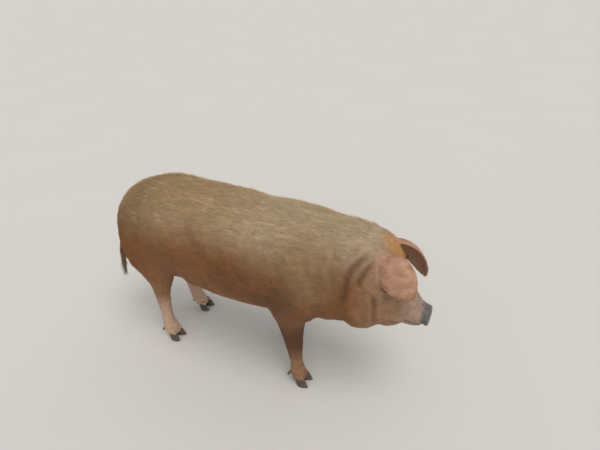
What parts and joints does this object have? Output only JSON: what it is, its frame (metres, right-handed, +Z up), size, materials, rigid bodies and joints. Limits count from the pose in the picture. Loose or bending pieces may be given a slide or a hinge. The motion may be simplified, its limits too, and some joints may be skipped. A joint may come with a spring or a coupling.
{
  "type": "duroc pig",
  "caption": "Life-size still model of a standing Duroc sow, head held low, lop ears over the face, golden-brown short coat, dark snout and cloven hooves.",
  "frame": {"origin": "on the floor under the middle of the animal's box, snout disc to tail", "axes": "+X towards the head, +Y towards the animal's left side, +Z up"},
  "size_m": [1.616, 0.454, 0.8841],
  "materials": {
    "hide": "skin under a short golden-brown coat of flat bristles, soft sheen",
    "leg_hide": "pinkish tan skin with sparse short bristles, matt",
    "ear_hide": "thin pinkish skin with fine short hair, matt",
    "snout_skin": "dark grey, moist and slightly glossy",
    "horn": "grey horn, dull, scuffed at the edges",
    "eyeball": "dark brown, wet gloss"
  },
  "bodies": {
    "root": {"torso": "hide", "neck": "hide", "head": "hide", "tail": "hide", "leg_hind_right": "leg_hide", "leg_hind_left": "leg_hide", "leg_front_right": "leg_hide", "leg_front_left": "leg_hide", "ear_right": "ear_hide", "ear_left": "ear_hide", "snout": "snout_skin", "eye_right": "eyeball", "eye_left": "eyeball", "claw_hind_right_outer": "horn", "claw_hind_right_inner": "horn", "dewclaw_hind_right_outer": "horn", "dewclaw_hind_right_inner": "horn", "claw_hind_left_outer": "horn", "claw_hind_left_inner": "horn", "dewclaw_hind_left_outer": "horn", "dewclaw_hind_left_inner": "horn", "claw_front_right_outer": "horn", "claw_front_right_inner": "horn", "dewclaw_front_right_outer": "horn", "dewclaw_front_right_inner": "horn", "claw_front_left_outer": "horn", "claw_front_left_inner": "horn", "dewclaw_front_left_outer": "horn", "dewclaw_front_left_inner": "horn"}
  },
  "joints": []
}
